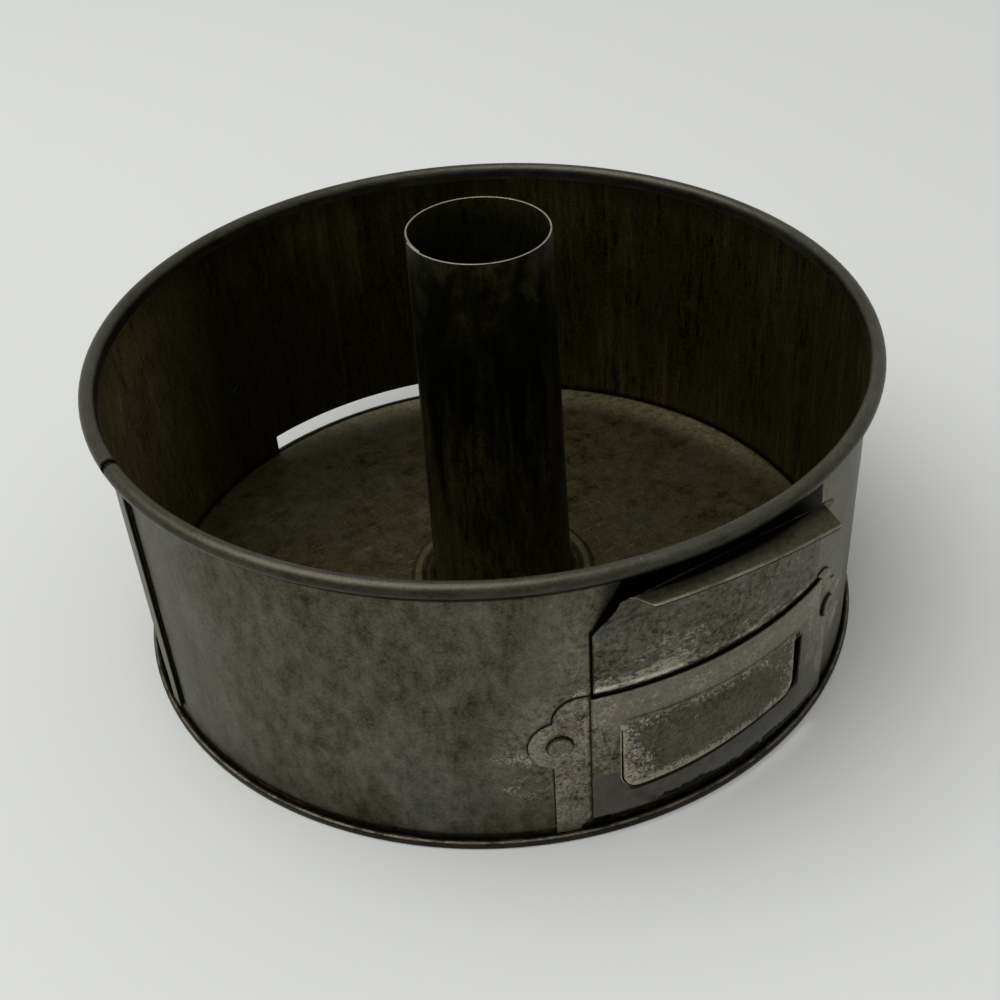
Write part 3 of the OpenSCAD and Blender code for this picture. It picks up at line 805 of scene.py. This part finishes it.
@dataclass(frozen=True)
class RivetFinish(GateFinish):
    """A rivet: dull tin with painted shade in a ring where its head meets the flange."""

    head: Tarnish = Tarnish((0.115, 0.104, 0.072), (0.100, 0.096, 0.078), 5.0, 0.9, 0.40, 0.04,
                            contrast=1.5, grain=0.6)

    def material(self) -> bpy.types.Material:
        """Lays the coats one over the other.

        Returns:
            The material.
        """
        g = Graph(f"rivet_finish_{self.turned:.0f}")
        side = abs(g.arc(self.turned))
        coat, soot_and_shade = self.head.coat(g), SOOT_AND_SHADE.coat(g)
        far = g.span(side - RIVET_ARC, g.z - RIVET_Z)
        tin = BARE_TIN.coat(g)
        coat = coat.under(tin, specks(g, far.near(2.5, 1.0) * 0.9 - 0.25, 0.7, 5.0) * 0.7)
        behind = g.r.rise(WALL_MID_R, WALL_MID_R - 0.4)
        # Painted shade in a ring where the head meets the flange; the end inside the pan is
        # darkened
        coat = coat.under(soot_and_shade, far.rise(3.05, 3.45) * 0.8,
                          behind * (0.75 + 0.2 * far.rise(1.0, 2.4)))
        return g.close(coat)


def wire_material() -> bpy.types.Material:
    """Plain drawn steel, darkened in soft patches.

    Returns:
        The material.
    """
    g = Graph("wire_finish")
    coat = Tarnish((0.05, 0.04, 0.03), (0.04, 0.035, 0.03), 8.0, 0.8, 0.6, 0.02).coat(g)
    coat = coat.under(SOOT_AND_SHADE.coat(g), g.noise(5.0).rise(0.3, 0.5) * 0.9)
    return g.close(coat, 0.5)


def dress(obj: bpy.types.Object, material: bpy.types.Material) -> None:
    """Puts one material into every slot of an object.

    Args:
        obj: the object.
        material: the material.
    """
    if not obj.material_slots:
        obj.data.materials.append(material)
    for slot in obj.material_slots:
        slot.material = material


def stand_in(obj: bpy.types.Object, material: bpy.types.Material, body: str, node: str) -> None:
    """Dresses a new piece, puts it on its body and hides the node that it replaces.

    Args:
        obj: the piece.
        material: its material.
        body: the body that it rides on.
        node: the node that it replaces.
    """
    dress(obj, material)
    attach(obj, body)
    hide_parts(node)


class Bench:
    """The mesh bench: pieces are shaped on it with Blender's own operators."""

    @staticmethod
    def clear() -> None:
        """Deselects everything."""
        for obj in bpy.context.view_layer.objects:
            obj.select_set(False)

    @classmethod
    def hold(cls, obj: bpy.types.Object) -> None:
        """Selects one object alone and makes it the active one.

        Args:
            obj: the object.
        """
        cls.clear()
        obj.select_set(True)
        bpy.context.view_layer.objects.active = obj

    @staticmethod
    def enter() -> None:
        """Goes into edit mode, with everything selected."""
        bpy.ops.object.mode_set(mode="EDIT")
        bpy.ops.mesh.select_all(action="SELECT")

    @staticmethod
    def leave() -> None:
        """Goes back to object mode."""
        bpy.ops.object.mode_set(mode="OBJECT")

    @staticmethod
    def copy(name: str, mesh: bpy.types.Mesh) -> bpy.types.Object:
        """Puts a copy of a mesh into the scene.

        Args:
            name: the new object's name.
            mesh: the mesh.

        Returns:
            The new object.
        """
        obj = bpy.data.objects.new(name, mesh.copy())
        obj.data.name = name
        bpy.context.scene.collection.objects.link(obj)
        return obj

    @staticmethod
    def take(name: str, scale: tuple[float, float, float] = EVEN) -> bpy.types.Object:
        """Names the primitive that was just added and moves its place and scale into its mesh.

        Args:
            name: its name.
            scale: its scale along each axis.

        Returns:
            The object.
        """
        obj = bpy.context.view_layer.objects.active
        obj.name = obj.data.name = name
        obj.scale = scale
        bpy.ops.object.transform_apply(location=True, rotation=True, scale=True)
        return obj

    @staticmethod
    def pick(obj: bpy.types.Object, domain: str, wanted: Callable[[Vector], bool]) -> int:
        """Selects part of the mesh in edit mode.

        Args:
            obj: the object in edit mode.
            domain: "verts", "edges" or "faces".
            wanted: says of each element's middle, in millimetres, whether it is wanted.

        Returns:
            How many elements are selected.
        """
        mode = {"verts": "VERT", "edges": "EDGE", "faces": "FACE"}[domain]
        bpy.ops.mesh.select_mode(type=mode)
        bpy.ops.mesh.select_all(action="DESELECT")
        mesh = bmesh.from_edit_mesh(obj.data)
        count = 0
        for part in getattr(mesh, domain):
            middle = part.co if domain == "verts" else (
                sum((v.co for v in part.verts), Vector()) / len(part.verts))
            if wanted(middle / MM):
                part.select = True
                count += 1
        mesh.select_flush_mode()
        bmesh.update_edit_mesh(obj.data)
        return count

    @staticmethod
    def modify(obj: bpy.types.Object, kind: str, **settings: object) -> None:
        """Adds a modifier and applies it.

        Args:
            obj: the object.
            kind: the modifier's type.
            settings: its settings.
        """
        bpy.context.view_layer.objects.active = obj
        modifier = obj.modifiers.new(kind.title(), kind)
        for key, value in settings.items():
            setattr(modifier, key, value)
        bpy.ops.object.modifier_apply(modifier=modifier.name)

    @classmethod
    def sheet(cls, name: str, width: float, foot: float, top: float, columns: int,
              rows: int) -> bpy.types.Object:
        """An upright flat sheet in the plane Y = 0.

        Args:
            name: the piece's name.
            width: its width along X, in millimetres.
            foot: the height of its lower edge.
            top: the height of its upper edge.
            columns: how many faces it has across.
            rows: how many faces it has upwards.

        Returns:
            The sheet.
        """
        cls.clear()
        bpy.ops.mesh.primitive_grid_add(
            x_subdivisions=columns, y_subdivisions=rows, size=1.0,
            location=(0.0, 0.0, (foot + top) / 2.0 * MM), rotation=(math.pi / 2.0, 0.0, 0.0))
        return cls.take(name, (width * MM, (top - foot) * MM, 1.0))

    @classmethod
    def roll(cls, obj: bpy.types.Object, width: float, radius: float) -> None:
        """Rolls an upright sheet round the pan's axis.

        Args:
            obj: the sheet.
            width: its width, in millimetres.
            radius: the radius that it is rolled to.
        """
        cls.modify(obj, "SIMPLE_DEFORM", deform_method="BEND", deform_axis="Z",
                   angle=width / radius)
        Bench.enter()
        bpy.ops.transform.translate(value=(0.0, -radius * MM, 0.0))
        Bench.leave()

    @classmethod
    def dull(cls, obj: bpy.types.Object, edge: float) -> None:
        """Rounds a piece's sharp edges a little, by a width in millimetres."""
        cls.modify(obj, "BEVEL", width=edge * MM, segments=2, limit_method="ANGLE",
                   angle_limit=math.radians(ROUNDED_ANGLE))

    @classmethod
    def thicken(cls, obj: bpy.types.Object, edge: float) -> None:
        """Gives a sheet its thickness, dulls its edges and shades it.

        Args:
            obj: the sheet.
            edge: how far its edges are rounded, in millimetres.
        """
        cls.modify(obj, "SOLIDIFY", thickness=SHEET * MM, offset=0.0)
        cls.dull(obj, edge)
        Bench.enter()
        bpy.ops.mesh.normals_make_consistent(inside=False)
        Bench.leave()
        cls.smooth(obj)

    @classmethod
    def smooth(cls, obj: bpy.types.Object) -> None:
        """Shades an object smoothly up to its sharper edges."""
        cls.hold(obj)
        bpy.ops.object.shade_smooth_by_angle(angle=math.radians(SMOOTH_ANGLE))

    @classmethod
    def turn(cls, obj: bpy.types.Object, degrees: float) -> None:
        """Turns a piece round the pan's axis, with the turn in its mesh."""
        obj.data.transform(Matrix.Rotation(math.radians(degrees), 4, "Z"))
        obj.data.update()


def same(one: float, two: float) -> bool:
    """Whether two coordinates in millimetres are the same place."""
    return abs(one - two) < TOUCH


class GateSide(Enum):
    """The two gates, each with its turn from the front in degrees."""

    FRONT = ("front", 0.0, "front_gate")
    REAR = ("rear", 178.4, "rear_gate")

    def __init__(self, word: str, turned: float, body: str) -> None:
        """Keeps what is told of a gate.

        Args:
            word: the word in the names of its pieces.
            turned: its turn from the front, in degrees.
            body: the body that its slide rides on.
        """
        self.word = word
        self.turned = turned
        self.body = body


@dataclass
class PanBody:
    """The wall, the floor and the wire in the rim, which stay as they were drawn."""

    wall: WallFinish = WallFinish()
    floor: FloorFinish = FloorFinish()

    def build(self) -> None:
        """Dresses the three nodes."""
        nodes = frame["nodes"]
        dress(nodes["side_wall"], self.wall.material())
        dress(nodes["bottom"], self.floor.material())
        dress(nodes["rim_wire"], wire_material())
        LOG.info("side_wall, bottom and rim_wire dressed")


@dataclass
class CentreTube:
    """The tube, one rolled sheet whose inner edge laps inside its outer edge."""

    foot_r: float = 22.35
    top_r: float = 20.25
    foot_z: float = 1.11
    top_z: float = TUBE_TOP
    flange: float = 4.0
    lap: float = 19.0
    ramp: float = 24.0
    lap_step: float = 0.52
    seam_at: float = 165.0
    edge: float = 0.1
    columns: int = 126
    rows: int = 14

    def _shape(self) -> bpy.types.Object:
        """Rolls the sheet, laps it, tapers it and turns its foot out.

        Returns:
            The tube.
        """
        swing = 360.0 + self.lap
        width = math.radians(swing) * self.foot_r
        obj = Bench.sheet("tube_sheet", width, self.foot_z, self.top_z, self.columns, self.rows)
        Bench.enter()
        for column in range(self.columns + 1):
            at = swing * column / self.columns
            step = min(1.0, max(0.0, (at - 360.0 + self.ramp) / self.ramp))
            if step > 0.0:
                x = -width / 2.0 + width * column / self.columns
                Bench.pick(obj, "verts", lambda p, x=x: same(p.x, x))
                bpy.ops.transform.translate(value=(0.0, step * self.lap_step * MM, 0.0))
        Bench.leave()
        Bench.roll(obj, width, self.foot_r)
        Bench.enter()
        for row in range(self.rows + 1):
            share = row / self.rows
            z = self.foot_z + (self.top_z - self.foot_z) * share
            scale = 1.0 + (self.top_r / self.foot_r - 1.0) * share
            Bench.pick(obj, "verts", lambda p, z=z: same(p.z, z))
            bpy.ops.transform.resize(value=(scale, scale, 1.0), center_override=(0.0, 0.0, 0.0))
        Bench.pick(obj, "edges", lambda p: same(p.z, self.foot_z))
        bpy.ops.mesh.extrude_region_move()
        wide = (self.foot_r + self.flange) / self.foot_r
        bpy.ops.transform.resize(value=(wide, wide, 1.0), center_override=(0.0, 0.0, 0.0))
        Bench.leave()
        Bench.turn(obj, self.seam_at + swing / 2.0 + 90.0)
        Bench.thicken(obj, self.edge)
        return obj

    def build(self) -> None:
        """Makes the tube and dresses it."""
        obj = self._shape()
        stand_in(obj, TubeFinish().material(), "root", "centre_tube")
        LOG.info("tube_sheet: %d faces", len(obj.data.polygons))


@dataclass
class Slide:
    """A gate's slide: a curved sheet that runs up to a straight fold and a lip."""

    side: GateSide
    foot: float = 10.0
    fold_z: float = 86.0
    width: float = 76.38
    top_half: float = 34.5
    fold_start: float = 85.3
    left_corner: float = 0.8
    right_corner: float = 2.0
    fold_r: float = 0.7
    edge: float = 0.12
    inset: float = 0.1
    columns: int = 40
    rows: int = 48

    def _straight(self, z: float) -> float:
        """How far a row has left the wall's curve for the straight fold.

        Args:
            z: the row's height.

        Returns:
            The share, from 0 to 1.
        """
        start = FACE_TOP - SLIDE_CORNER
        s = min(1.0, max(0.0, (z - start) / (self.fold_start - start)))
        return 0.6 * s + 0.4 * s * s * (3.0 - 2.0 * s)

    def _reach(self, x: float) -> float:
        """How far the lip reaches out.

        Args:
            x: the distance from its middle.

        Returns:
            The reach, in millimetres.
        """
        share = x / LIP_END_HALF
        return (LIP_OUT + share * (LIP_RIGHT_OUT - LIP_LEFT_OUT) / 2.0
                + share * share * ((LIP_RIGHT_OUT + LIP_LEFT_OUT) / 2.0 - LIP_OUT)) - self.inset

    def _lip(self, obj: bpy.types.Object) -> None:
        """Folds the lip out, brings its free edge to its slant and rounds its corners.

        Args:
            obj: the sheet, in edit mode.
        """
        Bench.pick(obj, "edges", lambda p: same(p.z, self.fold_z) and abs(p.x) < LIP_HALF)
        bpy.ops.mesh.extrude_region_move(
            TRANSFORM_OT_translate={"value": (0.0, -LIP_OUT * MM, 0.0)})
        taper = LIP_END_HALF / LIP_HALF
        bpy.ops.transform.resize(value=(taper, 1.0, 1.0), center_override=(0.0, 0.0, 0.0))
        free = SLIDE_RC + LIP_OUT
        edge = sorted(v.co.x / MM for v in bmesh.from_edit_mesh(obj.data).verts
                      if same(v.co.y / MM, -free))
        for x in edge:
            Bench.pick(obj, "verts", lambda p, x=x: same(p.y, -free) and same(p.x, x))
            bpy.ops.transform.translate(value=(0.0, (LIP_OUT - self._reach(x)) * MM, 0.0))
        Bench.pick(obj, "edges", lambda p: same(p.z, self.fold_z)
                   and same(p.y, -SLIDE_RC) and abs(p.x) < LIP_HALF)
        bpy.ops.mesh.bevel(offset=self.fold_r * MM, segments=4, affect="EDGES")
        for end, corner in ((edge[0], self.left_corner), (edge[-1], self.right_corner)):
            Bench.pick(obj, "verts", lambda p, end=end: abs(p.x - end) < 2.0 * TOUCH
                       and p.y < -SLIDE_RC - LIP_LEFT_OUT / 2.0)
            bpy.ops.mesh.bevel(offset=corner * MM, segments=5, affect="VERTICES")

    def _shape(self) -> bpy.types.Object:
        """Cuts, rolls and folds the sheet.

        Returns:
            The slide.
        """
        obj = Bench.sheet(f"{self.side.word}_slide_sheet", self.width, self.foot, self.fold_z,
                          self.columns, self.rows)
        Bench.enter()
        half = self.width / 2.0
        slope = Vector((SLIDE_CORNER, 0.0, half - self.top_half)).normalized()
        for sign in (-1.0, 1.0):
            bpy.ops.mesh.select_all(action="SELECT")
            bpy.ops.mesh.bisect(
                plane_co=(sign * half * MM, 0.0, (FACE_TOP - SLIDE_CORNER) * MM),
                plane_no=(sign * slope.x, 0.0, slope.z), clear_outer=True)
        Bench.leave()
        Bench.roll(obj, self.width, SLIDE_RC)
        Bench.enter()
        heights = sorted({round(v.co.z / MM, 1) for v in bmesh.from_edit_mesh(obj.data).verts})
        for z in heights:
            straight = self._straight(z)
            if straight > 0.0:
                Bench.pick(obj, "verts", lambda p, z=z: abs(p.z - z) < 0.05)
                bpy.ops.transform.resize(value=(1.0, 1.0 - straight, 1.0),
                                         center_override=(0.0, -SLIDE_RC * MM, z * MM))
        self._lip(obj)
        Bench.leave()
        Bench.thicken(obj, self.edge)
        Bench.turn(obj, self.side.turned)
        return obj

    def build(self) -> None:
        """Makes the slide and dresses it."""
        obj = self._shape()
        stand_in(obj, SlideFinish(self.side.turned).material(), self.side.body,
                 f"{self.side.word}_slide")
        LOG.info("%s: %d faces", obj.name, len(obj.data.polygons))


@dataclass
class Holder:
    """A gate's holder: the drawn sheet, with its folds and cut edges softened."""

    side: GateSide
    ridge: float = 0.4
    edge: float = 0.1
    flat_angle: float = 0.3

    def build(self) -> None:
        """Softens a copy of the drawn holder and dresses it."""
        name = f"{self.side.word}_holder"
        obj = Bench.copy(f"{name}_sheet", frame["nodes"][name].data)
        Bench.hold(obj)
        Bench.turn(obj, -self.side.turned)
        Bench.enter()
        bpy.ops.mesh.customdata_custom_splitnormals_clear()
        bpy.ops.mesh.remove_doubles(threshold=1e-6)
        bpy.ops.mesh.dissolve_limited(angle_limit=math.radians(self.flat_angle))
        ridges = Bench.pick(obj, "edges", lambda p: False)
        mesh = bmesh.from_edit_mesh(obj.data)
        for line in mesh.edges:
            one, two = (v.co / MM for v in line.verts)
            upright = abs(one.z - two.z) > 3.0 and abs(one.x - two.x) < 2.0 * TOUCH
            if upright and min(one.xy.length, two.xy.length) > PLATE_R - 0.03 and (
                    POCKET_HALF < WALL_R * abs(math.atan2(one.x, -one.y)) < POCKET_HALF + 1.2):
                line.select = True
                ridges += 1
        bmesh.update_edit_mesh(obj.data)
        if ridges:
            bpy.ops.mesh.bevel(offset=self.ridge * MM, segments=3, affect="EDGES")
        Bench.leave()
        Bench.dull(obj, self.edge)
        Bench.smooth(obj)
        Bench.turn(obj, self.side.turned)
        stand_in(obj, HolderFinish(self.side.turned).material(), "root", name)
        LOG.info("%s: %d faces, %d edges of its ridges rounded", obj.name,
                 len(obj.data.polygons), ridges)


@dataclass
class Rivets:
    """The four rivets: each has a dished head outside and an upset end inside the pan."""

    head_foot: float = 111.61
    head_r: float = 3.5
    head_h: float = 0.95
    shank_r: float = 1.5
    end_top: float = 110.45
    end_r: float = 2.5
    end_h: float = 0.6
    head_round: float = 0.6
    head_border: float = 0.7
    dish_slope: float = 0.5
    dish_depth: float = 0.16
    end_round: float = 0.4

    def _shape(self) -> bpy.types.Object:
        """Models one rivet, lying on its back with its head's foot at Z = 0.

        Returns:
            The rivet.
        """
        Bench.clear()
        bpy.ops.mesh.primitive_cylinder_add(vertices=40, radius=self.head_r * MM,
                                            depth=self.head_h * MM,
                                            location=(0.0, 0.0, self.head_h / 2.0 * MM))
        obj = Bench.take("rivet_pattern")
        Bench.enter()
        Bench.pick(obj, "edges", lambda p: same(p.z, self.head_h))
        bpy.ops.mesh.bevel(offset=self.head_round * MM, segments=4, affect="EDGES")
        Bench.pick(obj, "faces", lambda p: same(p.z, self.head_h))
        bpy.ops.mesh.inset(thickness=self.head_border * MM)
        bpy.ops.mesh.inset(thickness=self.dish_slope * MM)
        bpy.ops.transform.translate(value=(0.0, 0.0, -self.dish_depth * MM))
        Bench.pick(obj, "faces", lambda p: same(p.z, 0.0))
        bpy.ops.mesh.inset(thickness=(self.head_r - self.shank_r) * MM)
        drop = self.end_top - self.head_foot
        bpy.ops.mesh.extrude_region_move(TRANSFORM_OT_translate={"value": (0.0, 0.0, drop * MM)})
        bpy.ops.mesh.extrude_region_move()
        wide = self.end_r / self.shank_r
        bpy.ops.transform.resize(value=(wide, wide, 1.0), center_override=(0.0, 0.0, drop * MM))
        bpy.ops.mesh.extrude_region_move(
            TRANSFORM_OT_translate={"value": (0.0, 0.0, -self.end_h * MM)})
        Bench.pick(obj, "edges", lambda p: same(p.z, drop - self.end_h))
        bpy.ops.mesh.bevel(offset=self.end_round * MM, segments=3, affect="EDGES")
        bpy.ops.mesh.select_all(action="SELECT")
        bpy.ops.mesh.normals_make_consistent(inside=False)
        Bench.leave()
        Bench.smooth(obj)
        return obj

    def build(self) -> None:
        """Copies the rivet to its four places and dresses the copies."""
        pattern = self._shape()
        outwards = Matrix.Translation((0.0, -self.head_foot * MM, RIVET_Z * MM)) @ (
            Matrix.Rotation(math.pi / 2.0, 4, "X"))
        for side in GateSide:
            finish = RivetFinish(side.turned).material()
            for hand, sign in (("left", -1.0), ("right", 1.0)):
                name = f"{side.word}_{hand}_rivet"
                obj = Bench.copy(f"{name}_set", pattern.data)
                obj.data.transform(outwards)
                Bench.turn(obj, side.turned + sign * math.degrees(RIVET_ARC / WALL_R))
                stand_in(obj, finish, "root", name)
                LOG.info("%s set", obj.name)
        bpy.data.objects.remove(pattern)


@dataclass
class Gate:
    """One knife gate: its holder and its slide."""

    side: GateSide

    def build(self) -> None:
        """Makes both pieces."""
        Holder(self.side).build()
        Slide(self.side).build()
        LOG.info("%s gate made", self.side.word)


@dataclass
class Studio:
    """The pale floor, the soft light and the camera."""

    ground: Colour = (0.57, 0.58, 0.56)
    floor_size: float = 8.0
    key_at: Vector = Vector((-0.75, 0.15, 1.8))
    key_size: float = 2.2
    key_watts: float = 36.0
    fill: float = 0.58
    camera_at: Vector = Vector((-0.17967, -0.31120, 0.30703))
    ahead: Vector = Vector((0.4424, 0.6442, -0.6239))
    upward: Vector = Vector((0.3733, 0.5003, 0.7812))
    lens: float = 51.07
    shift: tuple[float, float] = (-0.0869, 0.0249)

    def _floor(self) -> None:
        """A wide pale sheet under the pan."""
        Bench.clear()
        bpy.ops.mesh.primitive_plane_add(size=self.floor_size, location=(0.0, 0.0, 0.0))
        floor = Bench.take("studio_floor")
        material = bpy.data.materials.new("studio_paper")
        material.use_nodes = True
        shader = material.node_tree.nodes["Principled BSDF"]
        shader.inputs["Base Color"].default_value = (*self.ground, 1.0)
        shader.inputs["Roughness"].default_value = 0.9
        shader.inputs["Specular IOR Level"].default_value = 0.1
        dress(floor, material)

    def _world(self) -> None:
        """A pale surround for the camera and for reflections, and a plain fill for the rest."""
        world = bpy.data.worlds.new("studio_air")
        bpy.context.scene.world = world
        world.use_nodes = True
        tree = world.node_tree
        tree.nodes.clear()
        seen = tree.nodes.new("ShaderNodeBackground")
        seen.inputs["Color"].default_value = (*self.ground, 1.0)
        fill = tree.nodes.new("ShaderNodeBackground")
        fill.inputs["Color"].default_value = (self.fill, self.fill, self.fill, 1.0)
        path = tree.nodes.new("ShaderNodeLightPath")
        total = path.outputs["Is Camera Ray"]
        for name in ("Is Glossy Ray", "Is Transmission Ray"):
            add = tree.nodes.new("ShaderNodeMath")
            add.operation = "MAXIMUM"
            tree.links.new(total, add.inputs[0])
            tree.links.new(path.outputs[name], add.inputs[1])
            total = add.outputs[0]
        both = tree.nodes.new("ShaderNodeMixShader")
        out = tree.nodes.new("ShaderNodeOutputWorld")
        tree.links.new(total, both.inputs[0])
        tree.links.new(fill.outputs[0], both.inputs[1])
        tree.links.new(seen.outputs[0], both.inputs[2])
        tree.links.new(both.outputs[0], out.inputs["Surface"])

    def _key(self) -> None:
        """One large soft lamp, high on the left and behind."""
        data = bpy.data.lights.new("key_lamp", "AREA")
        data.shape = "DISK"
        data.size = self.key_size
        data.energy = self.key_watts
        lamp = bpy.data.objects.new("key_lamp", data)
        bpy.context.scene.collection.objects.link(lamp)
        lamp.location = self.key_at
        lamp.rotation_euler = (-self.key_at).to_track_quat("-Z", "Y").to_euler()

    def _camera(self) -> None:
        """The camera, at the photograph's place and angle."""
        data = bpy.data.cameras.new("camera")
        data.sensor_width = 36.0
        data.lens = self.lens
        data.shift_x, data.shift_y = self.shift
        data.clip_start, data.clip_end = 0.01, 20.0
        camera = bpy.data.objects.new("camera", data)
        bpy.context.scene.collection.objects.link(camera)
        back = -self.ahead.normalized()
        right = self.upward.cross(back).normalized()
        turned = Matrix((right, back.cross(right), back)).transposed().to_4x4()
        camera.matrix_world = Matrix.Translation(self.camera_at) @ turned
        bpy.context.scene.camera = camera

    def build(self) -> None:
        """Sets the stage."""
        self._floor()
        self._world()
        self._key()
        self._camera()
        bpy.context.scene.view_settings.view_transform = "Standard"
        LOG.info("studio set")


def main() -> None:
    """Builds the scene."""
    logging.basicConfig(level=logging.INFO, format="%(name)s %(message)s")
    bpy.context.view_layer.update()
    Studio().build()
    PanBody().build()
    CentreTube().build()
    for side in GateSide:
        Gate(side).build()
    Rivets().build()
    bpy.context.view_layer.update()


if __name__ == "__main__":
    main()
